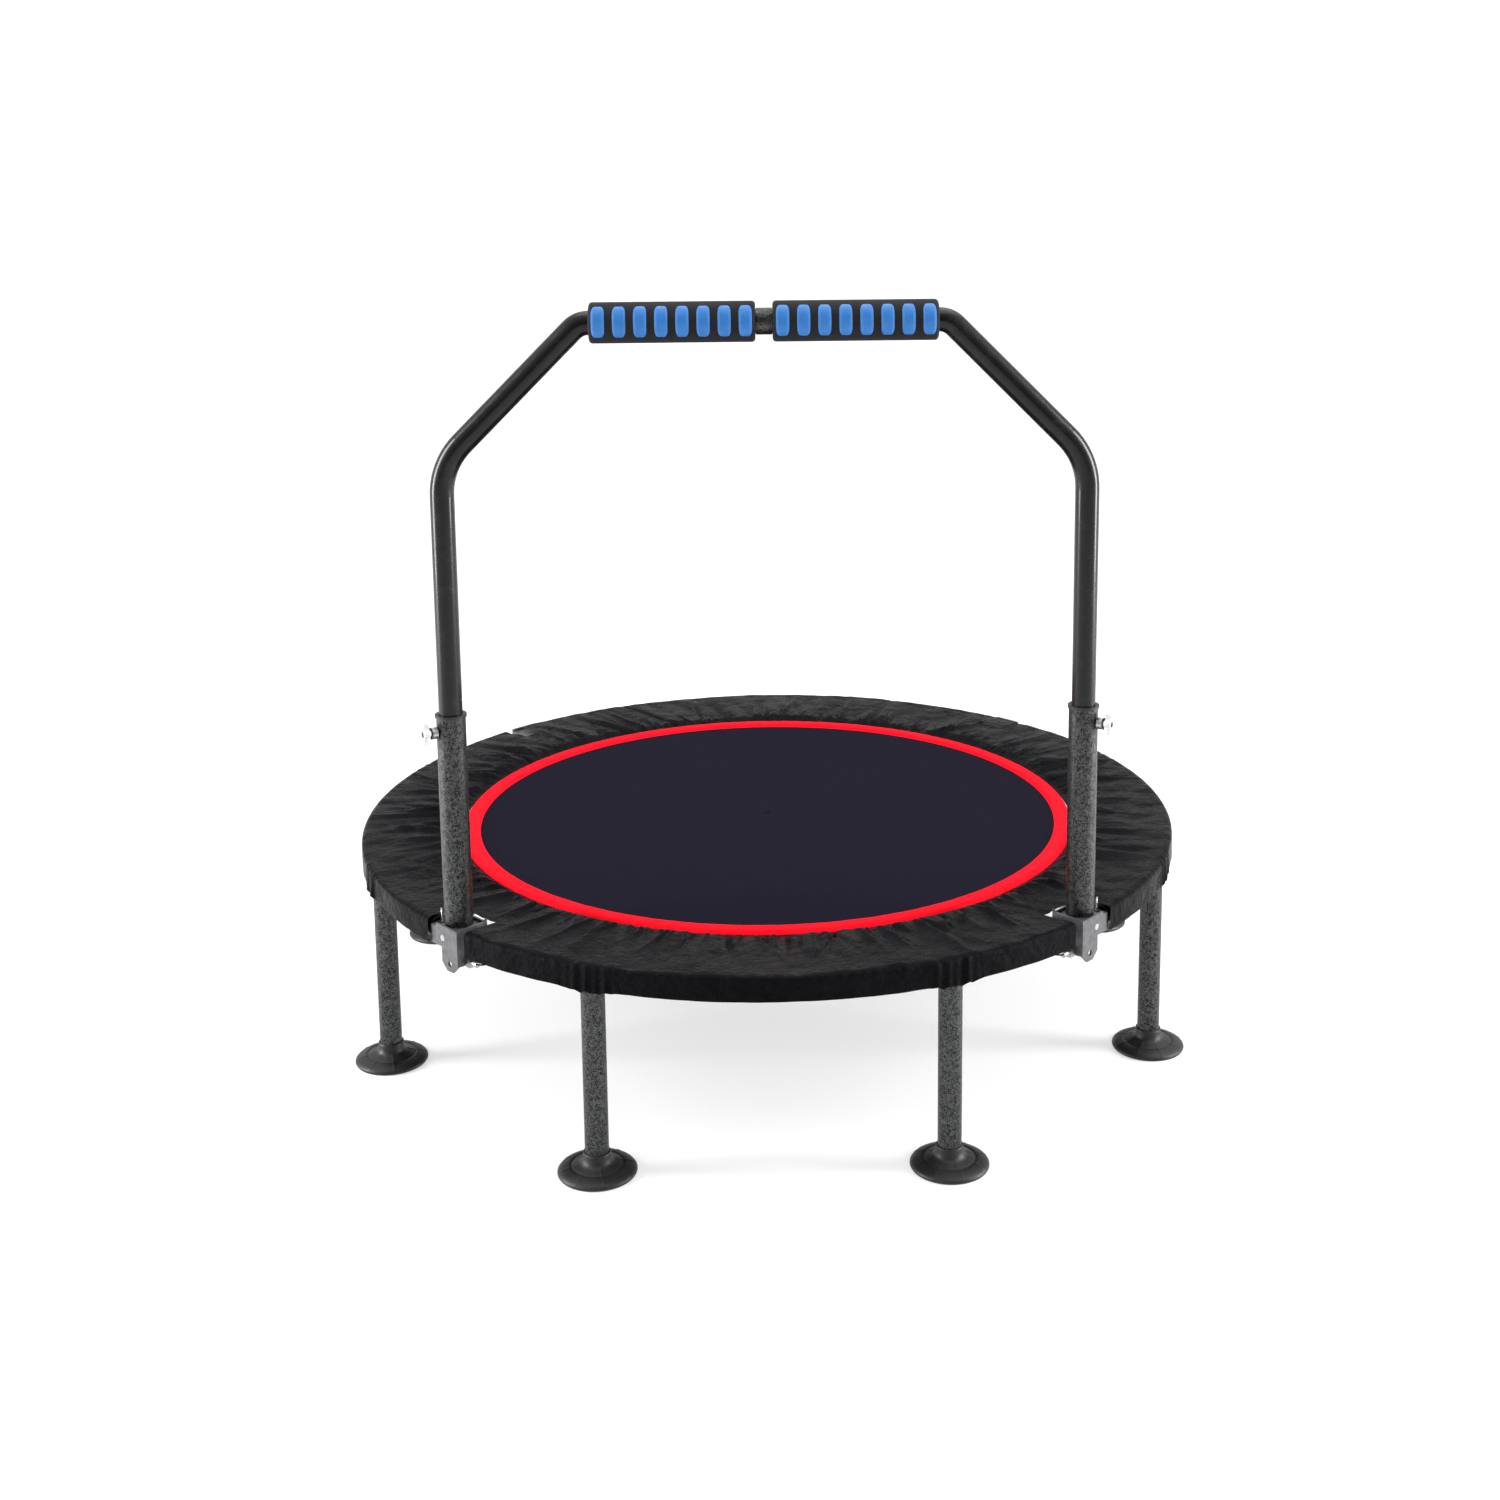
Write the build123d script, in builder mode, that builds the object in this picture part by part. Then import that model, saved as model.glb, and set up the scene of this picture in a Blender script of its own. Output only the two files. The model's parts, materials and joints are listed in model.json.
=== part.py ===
"""Mini trampoline with a fold-down frame and a height-adjustable handrail.

Millimetres, +Z up, origin on the floor under the middle of the ring, handrail at -Y.
The ring is four steel arcs joined by four hinges at 45 degrees to the axes. The crease runs
from the front-right hinge to the back-left one: half a (front and left arcs) stays, half b
(right and back arcs) folds down.
"""

import os
from math import asin, cos, degrees, radians, sin, tan

from build123d import *

# Ring
RIM_R = 495.0           # centreline radius of the rim tube
RIM_Z = 228.0
RIM_TUBE_R = 12.7
TUBE_WALL = 1.5
CREASE_ANGLE = 135.0    # direction of the fold line, from +X
CREASE_GAP = 1.0
HALF_MIDDLE = {"a": 225.0, "b": 45.0}

# Mat, band and springs
MAT_R = 386.0
MAT_TOP = 235.0
MAT_THICK = 2.0
BAND_IN = 364.0
BAND_TOP = 239.5
SPRING_COUNT = 36
SPRING_R = 6.0
SPRING_IN = 408.0
SPRING_OUT = 466.0
HOOK_R = 1.2
HOOK_IN = 393.5
HOOK_END_GAP = 0.5      # between a hook's end and the rim tube
MAT_RING = (9.0, 16.0)  # flat wire ring sewn under the mat's edge: radial and across
RING_WIRE = 1.8
RING_R = 381.6
RING_BOTTOM = 231.8
RING_THICK = 1.1
RING_EYE = (4.6, 4.0)   # the ring's tongue that takes a spring hook
EYE_R = 389.0
EYE_BOTTOM = 225.0
EYE_TALL = 7.9

# Cover
COVER_IN = 388.5
COVER_OUT = 510.0
COVER_TOP_IN = 239.5
COVER_TOP_OUT = 243.0
COVER_THICK = 2.0
SKIRT_IN = 508.2
COVER_SEAM = 238.0
SKIRT_BOTTOM = 215.0
NOTCH_IN = 466.0        # the cover is cut away round a hinge from here outwards,
NOTCH_ARC = 46.0        # this far along towards the front or back arc,
NOTCH_SIDE = 30.0       # and this far the other way

# Legs
LEG_R = 13.0
LEG_BOTTOM = 4.0
LEG_TOP = 212.0
SPIGOT_BOTTOM = 182.0
FOOT_R = 43.0
FOOT_EDGE = 4.0
FOOT_SHOULDER = (31.0, 9.5)
FOOT_DOME = 12.5
FOOT_NECK_R = 14.8
FOOT_TOP = 25.0

# Hinge leaves, in the hinge's own axes: radial, and along towards the front or back arc
PLATE = 2.5
CHEEK_OUT = 508.6       # inner face of the outer cheek
CHEEK_IN = 471.8        # inner face of the inner cheek
LEAF_START = -12.0
LEAF_END = 26.0
LEAF_TOP = 242.0
SEAT_TOP = 238.5        # the post stands on this plate, between the cheeks
WING_BOTTOM = 223.0
TAB_BOTTOM = 192.0
TAB_SIDE = -2.0
TAB_CORNER = 8.5
TAB_HOLE = (12.0, 201.0)
TAB_HOLE_R = 3.2
SIDE_PEAK = 245.0       # the side plate's inner corner stands above the cheeks
SIDE_NECK = 485.0       # and it narrows to this radius below
SIDE_BOTTOM = 199.0
STRAP_IN = 474.1        # the strap runs from the side plate to the inside of the arc's tube
STRAP_END = 74.0
STRAP_TALL = 14.0
HOOK_HOLE_R = 3.0
TONGUE_END = 26.0
TONGUE_OUT = 506.0
TONGUE_IN = 474.6
TONGUE_R = 7.4
TONGUE_BOTTOM = 214.0
PIVOT_R = 3.5
PIVOT_HEAD = 6.0
TAB_BOLT = (496.0, 204.0)
TAB_BOLT_R = 3.4
TAB_BOLT_START = 18.0
TAB_BOLT_LENGTH = 24.0
TAB_NUT_R = 6.8
TAB_NUT_THICK = 6.0
ARC_GAP = 52.0          # from a hinge's middle to the end of the front or back arc
FIT = 0.05

# Handrail
POST_RADIAL = 488.0
POST_R = 16.0
POST_TOP = 476.0
RAIL_R = 13.0
RAIL_BOTTOM = 416.0
RAIL_TOP = 903.0
RAIL_CORNER = 753.0     # height where the upright and the slope would meet
BEND_LOW = 80.0
BEND_HIGH = 24.0
BUSHING_BOTTOM = 440.0
COLLAR = 3.0
JOINER_R = 14.3
JOINER_HALF = 8.6
GRIP_R = 21.75
GRIP_END = 184.0
PAD_COUNT = 8
PAD_PITCH = 22.0
PAD_WIDTH = 15.0
PAD_RISE = 1.2

# Clamp knobs
KNOB_Z = 460.0
KNOB_TURN = 27.0        # how far the knob's axis turns from sideways towards the front
SCREW_R = 3.0
SCREW_GAP = 0.4          # the screw's tip stops this far from the sliding tube
HUB_R = 6.5
KNOB_START = 25.0
KNOB_LENGTH = 8.0
KNOB_R = 12.0
KNOB_LOBES = 5

os.makedirs("parts", exist_ok=True)


def save(piece, label):
    """Label a finished piece and write it as its own file."""
    piece.label = label
    export_step(piece, f"parts/{label}.step")


def turned(angle, height=0.0):
    """A level plane with its X axis pointing outwards at this angle."""
    return Plane.XY.offset(height).rotated((0, 0, angle))


def radial_wall(angle):
    """An upright plane through the ring's axis: X outwards, Y up."""
    way = (cos(radians(angle)), sin(radians(angle)), 0)
    across = (sin(radians(angle)), -cos(radians(angle)), 0)
    return Plane(origin=(0, 0, 0), x_dir=way, z_dir=across)


def outward_plane(angle, radius, along_way):
    """A plane facing outwards at a radius: X along the rim (along_way 1 or -1), Y up or down."""
    way = Vector(cos(radians(angle)), sin(radians(angle)), 0)
    side = Vector(-sin(radians(angle)), cos(radians(angle)), 0) * along_way
    return Plane(origin=way * radius, x_dir=side, z_dir=way)


crease_slot = turned(CREASE_ANGLE) * Box(2.4 * COVER_OUT, CREASE_GAP, 4 * RIM_Z)
HALF_ARC = 180.0
HINGES = {"front_left": 225.0, "front_right": 315.0, "back_right": 45.0, "back_left": 135.0}
# Which way round the ring the front or back arc lies, where the boxed leaf is welded
ALONG_WAY = {"front_left": 1, "front_right": -1, "back_right": 1, "back_left": -1}

# ---------------------------------------------------------------- rim arcs
for name, middle in {"right": 0.0, "back": 90.0, "left": 180.0, "front": 270.0}.items():
    end_gap = ARC_GAP if name in ("front", "back") else TONGUE_END + PLATE
    arc_cut = degrees(asin(end_gap / (RIM_R - RIM_TUBE_R)))
    with BuildPart() as rim_arc:
        with BuildSketch(radial_wall(middle - 45 + arc_cut)):
            with Locations((RIM_R, RIM_Z)):
                Circle(RIM_TUBE_R)
                Circle(RIM_TUBE_R - TUBE_WALL, mode=Mode.SUBTRACT)
        revolve(axis=Axis.Z, revolution_arc=90 - 2 * arc_cut)
    save(rim_arc.part, f"rim_arc_{name}")

# ---------------------------------------------------------------- mat, band, rings, springs
for half, middle in HALF_MIDDLE.items():
    with BuildPart() as mat:
        with BuildSketch(radial_wall(middle - 90)):
            with Locations((0, MAT_TOP)):
                Rectangle(MAT_R, MAT_THICK, align=(Align.MIN, Align.MAX))
        revolve(axis=Axis.Z, revolution_arc=HALF_ARC)
        add(crease_slot, mode=Mode.SUBTRACT)
    save(mat.part, f"mat_{half}")

    with BuildPart() as band:
        with BuildSketch(radial_wall(middle - 90)):
            with Locations(((BAND_IN + MAT_R) / 2, (MAT_TOP + BAND_TOP) / 2)):
                Rectangle(MAT_R - BAND_IN, BAND_TOP - MAT_TOP)
        revolve(axis=Axis.Z, revolution_arc=HALF_ARC)
        add(crease_slot, mode=Mode.SUBTRACT)
        fillet(band.edges().filter_by(GeomType.CIRCLE).group_by(Axis.Z)[-1], 1.5)
    save(band.part, f"red_band_{half}")

spring_step = 360 / SPRING_COUNT
hook_length = RIM_R - RIM_TUBE_R - HOOK_END_GAP - HOOK_IN
for half, middle in HALF_MIDDLE.items():
    count = SPRING_COUNT // 2
    angles = [middle + spring_step * (i - (count - 1) / 2) for i in range(count)]

    with BuildPart() as springs:
        for angle in angles:
            wall = radial_wall(angle)
            with BuildSketch(wall):
                with Locations(((SPRING_IN + SPRING_OUT) / 2, RIM_Z)):
                    Rectangle(SPRING_OUT - SPRING_IN, SPRING_R, align=(Align.CENTER, Align.MIN))
                with Locations((HOOK_IN, RIM_Z)):
                    Rectangle(hook_length, HOOK_R, align=(Align.MIN, Align.MIN))
            revolve(axis=Axis(wall.from_local_coords((0, RIM_Z, 0)), wall.x_dir))
    save(springs.part, f"springs_{half}")

    with BuildPart() as mat_rings:
        for angle in angles:
            with BuildSketch(turned(angle, RING_BOTTOM)):
                with Locations((RING_R, 0)):
                    Rectangle(*MAT_RING)
                    Rectangle(MAT_RING[0] - 2 * RING_WIRE, MAT_RING[1] - 2 * RING_WIRE, mode=Mode.SUBTRACT)
            extrude(amount=RING_THICK)
            with BuildSketch(turned(angle, EYE_BOTTOM)):
                with Locations((EYE_R, 0)):
                    Rectangle(*RING_EYE)
            extrude(amount=EYE_TALL)
    save(mat_rings.part, f"mat_rings_{half}")

# ---------------------------------------------------------------- cover with its skirt
bracket_room = []
notch_block = Box(2 * (COVER_OUT - NOTCH_IN), NOTCH_ARC + NOTCH_SIDE, RIM_Z / 2)
for name, angle in HINGES.items():
    shift = ALONG_WAY[name] * (NOTCH_ARC - NOTCH_SIDE) / 2
    bracket_room.append(turned(angle) * Pos(COVER_OUT, shift, RIM_Z) * notch_block)

cover_outline = (
    (COVER_IN, COVER_TOP_IN),
    (COVER_OUT - 6, COVER_TOP_OUT),
    (COVER_OUT, COVER_SEAM),
    (SKIRT_IN, COVER_SEAM),
    (SKIRT_IN - 5, COVER_TOP_OUT - 1.5),
    (RIM_R - 14, COVER_TOP_OUT - 1.5),
    (COVER_IN, COVER_TOP_IN - COVER_THICK),
)
skirt_outline = (
    (SKIRT_IN, SKIRT_BOTTOM),
    (COVER_OUT, SKIRT_BOTTOM),
    (COVER_OUT, COVER_SEAM),
    (SKIRT_IN, COVER_SEAM),
)
for label, outline in (("cover", cover_outline), ("skirt", skirt_outline)):
    for half, middle in HALF_MIDDLE.items():
        with BuildPart() as panel:
            with BuildSketch(radial_wall(middle - 90)):
                with BuildLine():
                    Polyline(*outline, close=True)
                make_face()
            revolve(axis=Axis.Z, revolution_arc=HALF_ARC)
            add(crease_slot, mode=Mode.SUBTRACT)
            for room in bracket_room:
                add(room, mode=Mode.SUBTRACT)
        save(panel.part, f"{label}_{half}")

# ---------------------------------------------------------------- legs and feet
LEGS = {
    "front_right": 292.5, "front_left": 247.5, "left_front": 202.5, "left_back": 157.5,
    "back_left": 112.5, "back_right": 67.5, "right_back": 22.5, "right_front": 337.5,
}
LEG_HALF = {name: "b" if angle < 135 or angle > 315 else "a" for name, angle in LEGS.items()}

for name, angle in LEGS.items():
    spot = (RIM_R * cos(radians(angle)), RIM_R * sin(radians(angle)))
    with BuildPart() as leg:
        with BuildSketch(Plane.XY.offset(LEG_BOTTOM)):
            with Locations(spot):
                Circle(LEG_R)
                Circle(LEG_R - TUBE_WALL, mode=Mode.SUBTRACT)
        extrude(amount=LEG_TOP - LEG_BOTTOM)
    save(leg.part, f"leg_{name}")

    foot_plane = Plane(origin=(*spot, 0), x_dir=(1, 0, 0), z_dir=(0, -1, 0))
    with BuildPart() as foot:
        with BuildSketch(foot_plane):
            with BuildLine():
                floor_line = Line((0, 0), (FOOT_R, 0))
                edge = Line(floor_line @ 1, (FOOT_R, FOOT_EDGE))
                dome = ThreePointArc(edge @ 1, FOOT_SHOULDER, (FOOT_NECK_R + 4, FOOT_DOME))
                neck = Polyline(
                    dome @ 1,
                    (FOOT_NECK_R, FOOT_DOME + 4),
                    (FOOT_NECK_R, FOOT_TOP),
                    (LEG_R, FOOT_TOP),
                    (LEG_R, LEG_BOTTOM),
                    (0, LEG_BOTTOM),
                    (0, 0),
                )
            make_face()
        revolve(axis=Axis((*spot, 0), (0, 0, 1)))
    save(foot.part, f"foot_{name}")

for half in HALF_MIDDLE:
    with BuildPart() as spigots:
        for name, angle in LEGS.items():
            if LEG_HALF[name] == half:
                spot = (RIM_R * cos(radians(angle)), RIM_R * sin(radians(angle)))
                with BuildSketch(Plane.XY.offset(SPIGOT_BOTTOM)):
                    with Locations(spot):
                        Circle(LEG_R - TUBE_WALL - 0.1)
                extrude(amount=LEG_TOP - SPIGOT_BOTTOM)
                with BuildSketch(Plane.XY.offset(LEG_TOP)):
                    with Locations(spot):
                        Circle(LEG_R - 0.2)
                extrude(amount=RIM_Z - RIM_TUBE_R - LEG_TOP - 0.1)
    save(spigots.part, f"leg_spigots_{half}")

# ---------------------------------------------------------------- hinge leaves
# Along the rim, + points to the front or back arc's side.
tab_bolts = {}
for name, angle in HINGES.items():
    way = ALONG_WAY[name]
    up = way                # the outward plane's Y axis points up or down with its X axis
    arc_side = -way         # the across plane faces clockwise, so the arc lies on this side of it

    def outward(radius, angle=angle, way=way):
        """The hinge's outward plane at a radius, with X along the rim."""
        return outward_plane(angle, radius, way)

    def across(along, angle=angle, way=way):
        """A plane across the rim at a distance along it: X outwards, Y up."""
        out = Vector(cos(radians(angle)), sin(radians(angle)), 0)
        side = Vector(-sin(radians(angle)), cos(radians(angle)), 0) * way
        return Plane(origin=side * along, x_dir=out, z_dir=out.cross(Vector(0, 0, 1)))

    leaf_middle = (LEAF_START + LEAF_END) / 2
    leaf_length = LEAF_END - LEAF_START
    with BuildPart() as box_leaf:
        with BuildSketch(outward(CHEEK_OUT)):
            with BuildLine():
                Polyline(
                    (LEAF_START, up * WING_BOTTOM),
                    (LEAF_START, up * LEAF_TOP),
                    (LEAF_END, up * LEAF_TOP),
                    (LEAF_END, up * (TAB_BOTTOM + TAB_CORNER)),
                    (LEAF_END - TAB_CORNER, up * TAB_BOTTOM),
                    (TAB_SIDE + TAB_CORNER, up * TAB_BOTTOM),
                    (TAB_SIDE, up * (TAB_BOTTOM + TAB_CORNER)),
                    (TAB_SIDE, up * (WING_BOTTOM - 4)),
                    close=True,
                )
            make_face()
            with Locations((0, up * RIM_Z)):
                Circle(PIVOT_R + FIT, mode=Mode.SUBTRACT)
            with Locations((TAB_HOLE[0], up * TAB_HOLE[1])):
                Circle(TAB_HOLE_R, mode=Mode.SUBTRACT)
        extrude(amount=PLATE)
        with BuildSketch(outward(CHEEK_IN - PLATE)):
            with Locations((leaf_middle, up * (LEAF_TOP + WING_BOTTOM - PLATE) / 2)):
                Rectangle(leaf_length, LEAF_TOP - WING_BOTTOM + PLATE)
            with Locations((0, up * RIM_Z)):
                Circle(PIVOT_R + FIT, mode=Mode.SUBTRACT)
        extrude(amount=PLATE)
        with BuildSketch(outward(CHEEK_IN)):
            with Locations((leaf_middle, up * (SEAT_TOP - PLATE / 2))):
                Rectangle(leaf_length, PLATE)
        extrude(amount=CHEEK_OUT - CHEEK_IN)
        with BuildSketch(across(LEAF_END)):
            with BuildLine():
                Polyline(
                    (CHEEK_OUT + PLATE, LEAF_TOP),
                    (STRAP_IN, LEAF_TOP),
                    (CHEEK_IN - PLATE, SIDE_PEAK),
                    (CHEEK_IN - PLATE, RIM_Z + STRAP_TALL / 2),
                    (SIDE_NECK, WING_BOTTOM - PLATE),
                    (SIDE_NECK, SIDE_BOTTOM),
                    (CHEEK_OUT + PLATE, TAB_BOTTOM + TAB_CORNER),
                    close=True,
                )
            make_face()
            with Locations(TAB_BOLT):
                Circle(TAB_BOLT_R + FIT, mode=Mode.SUBTRACT)
        extrude(amount=-arc_side * PLATE)
        with BuildSketch(outward(STRAP_IN)):
            with Locations(((LEAF_END - PLATE + STRAP_END) / 2, up * RIM_Z)):
                Rectangle(STRAP_END - LEAF_END + PLATE, STRAP_TALL)
            with Locations((STRAP_IN * tan(radians(spring_step / 2)), up * RIM_Z)):
                Circle(HOOK_HOLE_R, mode=Mode.SUBTRACT)
        extrude(amount=PLATE)
    save(box_leaf.part, f"hinge_box_{name}")

    tongue_top = RIM_Z + TONGUE_R
    tongue_tall = tongue_top - TONGUE_BOTTOM
    with BuildPart() as tongue_leaf:
        for inner_face in (TONGUE_OUT - PLATE, TONGUE_IN):
            with BuildSketch(outward(inner_face)):
                with Locations((-TONGUE_END / 2, up * (TONGUE_BOTTOM + tongue_top) / 2)):
                    Rectangle(TONGUE_END, tongue_tall)
                with Locations((0, up * RIM_Z)):
                    Circle(TONGUE_R)
                    Circle(PIVOT_R + FIT, mode=Mode.SUBTRACT)
            extrude(amount=PLATE)
        with BuildSketch(outward(TONGUE_IN)):
            with Locations((-TONGUE_END - PLATE / 2 + 2 * FIT, up * (TONGUE_BOTTOM + tongue_top) / 2)):
                Rectangle(PLATE - 4 * FIT, tongue_tall)
        extrude(amount=TONGUE_OUT - TONGUE_IN)
    save(tongue_leaf.part, f"hinge_tongue_{name}")

    with BuildPart() as tab_bolt:
        with BuildSketch(across(TAB_BOLT_START)):
            with Locations(TAB_BOLT):
                Circle(TAB_BOLT_R)
        extrude(amount=arc_side * TAB_BOLT_LENGTH)
        with BuildSketch(across(LEAF_END + 2 * FIT)):
            with Locations(TAB_BOLT):
                RegularPolygon(TAB_NUT_R, 6)
        extrude(amount=arc_side * TAB_NUT_THICK)
    tab_bolts[name] = tab_bolt.part

for half in HALF_MIDDLE:
    names = [n for n in HINGES if n.startswith("front") == (half == "a")]
    with BuildPart() as pins:
        for name in names:
            pin_start = CHEEK_IN - PLATE - PIVOT_R
            head_plane = outward_plane(HINGES[name], pin_start, ALONG_WAY[name])
            with BuildSketch(head_plane):
                with Locations((0, ALONG_WAY[name] * RIM_Z)):
                    Circle(PIVOT_R)
            extrude(amount=CHEEK_OUT + PLATE + 2 * FIT - pin_start)
            with BuildSketch(head_plane):
                with Locations((0, ALONG_WAY[name] * RIM_Z)):
                    Circle(PIVOT_HEAD)
            extrude(amount=PIVOT_R - 2 * FIT)
    save(pins.part, f"hinge_pins_{half}")

    with BuildPart() as bolts:
        for name in names:
            add(tab_bolts[name])
    save(bolts.part, f"tab_bolts_{half}")

# ---------------------------------------------------------------- handrail posts
def post_spot(side):
    """Where a post stands: side is -1 for the left one and 1 for the right one."""
    return (side * POST_RADIAL * cos(radians(45)), -POST_RADIAL * cos(radians(45)))


def knob_plane(side, distance):
    """A plane across the clamp knob's axis, at a distance from the post's axis."""
    way = Vector(side * cos(radians(KNOB_TURN)), -sin(radians(KNOB_TURN)), 0)
    x, y = post_spot(side)
    return Plane(origin=Vector(x, y, KNOB_Z) + way * distance, x_dir=(0, 0, 1), z_dir=way)


for label, side in (("left", -1), ("right", 1)):
    spot = post_spot(side)

    with BuildPart() as post:
        with BuildSketch(Plane.XY.offset(SEAT_TOP + 2 * FIT)):
            with Locations(spot):
                Circle(POST_R)
                Circle(POST_R - TUBE_WALL, mode=Mode.SUBTRACT)
        extrude(amount=POST_TOP - SEAT_TOP - 2 * FIT)
        with BuildSketch(knob_plane(side, POST_R - 4)):
            Circle(SCREW_R + 1.5)
        extrude(amount=8, mode=Mode.SUBTRACT)
    save(post.part, f"post_{label}")

    with BuildPart() as bushing:
        with BuildSketch(Plane.XY.offset(BUSHING_BOTTOM)):
            with Locations(spot):
                Circle(POST_R - TUBE_WALL - 0.1)
        extrude(amount=POST_TOP - BUSHING_BOTTOM)
        with BuildSketch(Plane.XY.offset(POST_TOP + 0.1)):
            with Locations(spot):
                Circle(POST_R + 1.2)
        extrude(amount=COLLAR)
        with BuildSketch(Plane.XY.offset(POST_TOP)):
            with Locations(spot):
                Circle(POST_R - TUBE_WALL - 0.1)
        extrude(amount=0.1)
        with BuildSketch(Plane.XY.offset(BUSHING_BOTTOM - 1)):
            with Locations(spot):
                Circle(RAIL_R + FIT)
        extrude(amount=POST_TOP - BUSHING_BOTTOM + 6, mode=Mode.SUBTRACT)
        with BuildSketch(knob_plane(side, RAIL_R - 2)):
            Circle(SCREW_R + 1.5)
        extrude(amount=8, mode=Mode.SUBTRACT)
    save(bushing.part, f"post_bushing_{label}")

    with BuildPart() as knob:
        with BuildSketch(knob_plane(side, KNOB_START)):
            Circle(KNOB_R - 3)
            with PolarLocations(KNOB_R - 4, KNOB_LOBES):
                Circle(4)
        extrude(amount=KNOB_LENGTH)
        outer_plane = knob_plane(side, 0)
        outer_face = knob.faces().sort_by(Axis(outer_plane.origin, outer_plane.z_dir))[-1]
        fillet(outer_face.edges(), 1)
        with BuildSketch(knob_plane(side, KNOB_START - 2)):
            Circle(HUB_R)
        extrude(amount=2)
        with BuildSketch(knob_plane(side, RAIL_R + SCREW_GAP)):
            Circle(SCREW_R)
        extrude(amount=KNOB_START - RAIL_R - SCREW_GAP)
    save(knob.part, f"knob_{label}")

with BuildPart() as clamp_nuts:
    for side in (-1, 1):
        with BuildSketch(knob_plane(side, POST_R + 0.4)):
            Circle(6.5)
            Circle(SCREW_R + FIT, mode=Mode.SUBTRACT)
        extrude(amount=6)
save(clamp_nuts.part, "clamp_nuts")

# ---------------------------------------------------------------- handrail
for label, side in (("left", -1), ("right", 1)):
    x, y = post_spot(side)
    corner = abs(x)
    slope_top = corner - (RAIL_TOP - RAIL_CORNER)
    low_cut = BEND_LOW * tan(radians(22.5))
    high_cut = BEND_HIGH * tan(radians(22.5))
    rail_wall = Plane(origin=(0, y, 0), x_dir=(side, 0, 0), z_dir=(0, -side, 0))

    with BuildPart() as upper_tube:
        with BuildLine(rail_wall):
            upright = Line((corner, RAIL_BOTTOM), (corner, RAIL_CORNER - low_cut))
            low_bend = TangentArc(
                upright @ 1,
                (corner - low_cut * sin(radians(45)), RAIL_CORNER + low_cut * cos(radians(45))),
                tangent=upright % 1,
            )
            slope = Line(
                low_bend @ 1,
                (slope_top + high_cut * cos(radians(45)), RAIL_TOP - high_cut * sin(radians(45))),
            )
            high_bend = TangentArc(slope @ 1, (slope_top - high_cut, RAIL_TOP), tangent=slope % 1)
            Line(high_bend @ 1, (0.4, RAIL_TOP))
        with BuildSketch(Plane(origin=(x, y, RAIL_BOTTOM), z_dir=(0, 0, 1))):
            Circle(RAIL_R)
            Circle(RAIL_R - TUBE_WALL, mode=Mode.SUBTRACT)
        sweep()
    save(upper_tube.part, f"upper_tube_{label}")

    grip_wall = Plane(origin=(side * (JOINER_HALF + 0.4), y, RAIL_TOP), x_dir=(0, 1, 0), z_dir=(side, 0, 0))
    grip_length = GRIP_END - JOINER_HALF - 0.4
    with BuildPart() as grip:
        with BuildSketch(grip_wall):
            Circle(GRIP_R)
        extrude(amount=grip_length)
        fillet(grip.edges().filter_by(GeomType.CIRCLE), 4)
        with BuildSketch(grip_wall.offset(-1)):
            Circle(RAIL_R + 0.1)
        extrude(amount=grip_length + 2, mode=Mode.SUBTRACT)
    save(grip.part, f"grip_{label}")

    first_pad = (grip_length - (PAD_COUNT - 1) * PAD_PITCH - PAD_WIDTH) / 2
    with BuildPart() as pads:
        for i in range(PAD_COUNT):
            with BuildSketch(grip_wall.offset(first_pad + i * PAD_PITCH)):
                Circle(GRIP_R + PAD_RISE)
                Circle(GRIP_R + 0.1, mode=Mode.SUBTRACT)
                for way in (-1, 1):
                    with Locations((0, way * GRIP_R * 1.05)):
                        Rectangle(3 * GRIP_R, GRIP_R, mode=Mode.SUBTRACT)
            extrude(amount=PAD_WIDTH)
    save(pads.part, f"grip_pads_{label}")

_, rail_y = post_spot(1)
joint_wall = Plane(origin=(-JOINER_HALF, rail_y, RAIL_TOP), x_dir=(0, 1, 0), z_dir=(1, 0, 0))
with BuildPart() as joiner:
    with BuildSketch(joint_wall):
        Circle(JOINER_R)
        Circle(RAIL_R + 0.1, mode=Mode.SUBTRACT)
    extrude(amount=2 * JOINER_HALF)
save(joiner.part, "rail_joiner")
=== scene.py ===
"""Mini trampoline: looks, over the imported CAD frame. Metres, same frame as the CAD."""

import json
from math import asin, cos, degrees, pi, radians, sin, sqrt

import bpy
import numpy as np
from mathutils import Matrix, Vector


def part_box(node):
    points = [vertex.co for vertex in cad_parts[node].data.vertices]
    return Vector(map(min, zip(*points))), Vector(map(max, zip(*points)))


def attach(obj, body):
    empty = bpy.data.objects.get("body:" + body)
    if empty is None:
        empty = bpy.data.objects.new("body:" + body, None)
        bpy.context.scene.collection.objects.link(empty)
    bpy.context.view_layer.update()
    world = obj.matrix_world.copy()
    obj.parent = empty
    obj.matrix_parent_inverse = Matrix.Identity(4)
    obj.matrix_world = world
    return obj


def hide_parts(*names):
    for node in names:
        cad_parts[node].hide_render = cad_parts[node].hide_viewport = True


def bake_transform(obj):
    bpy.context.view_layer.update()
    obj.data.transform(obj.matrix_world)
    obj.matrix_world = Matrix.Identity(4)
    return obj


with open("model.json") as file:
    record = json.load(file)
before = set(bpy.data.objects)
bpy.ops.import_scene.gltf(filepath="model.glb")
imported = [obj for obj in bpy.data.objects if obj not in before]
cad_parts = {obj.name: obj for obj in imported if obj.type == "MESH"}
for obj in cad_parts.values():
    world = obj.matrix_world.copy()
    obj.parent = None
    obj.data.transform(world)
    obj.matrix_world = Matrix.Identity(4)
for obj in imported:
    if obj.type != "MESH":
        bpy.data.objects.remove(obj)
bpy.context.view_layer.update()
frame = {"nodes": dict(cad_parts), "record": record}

MM = 0.001
SEED = 11

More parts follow.
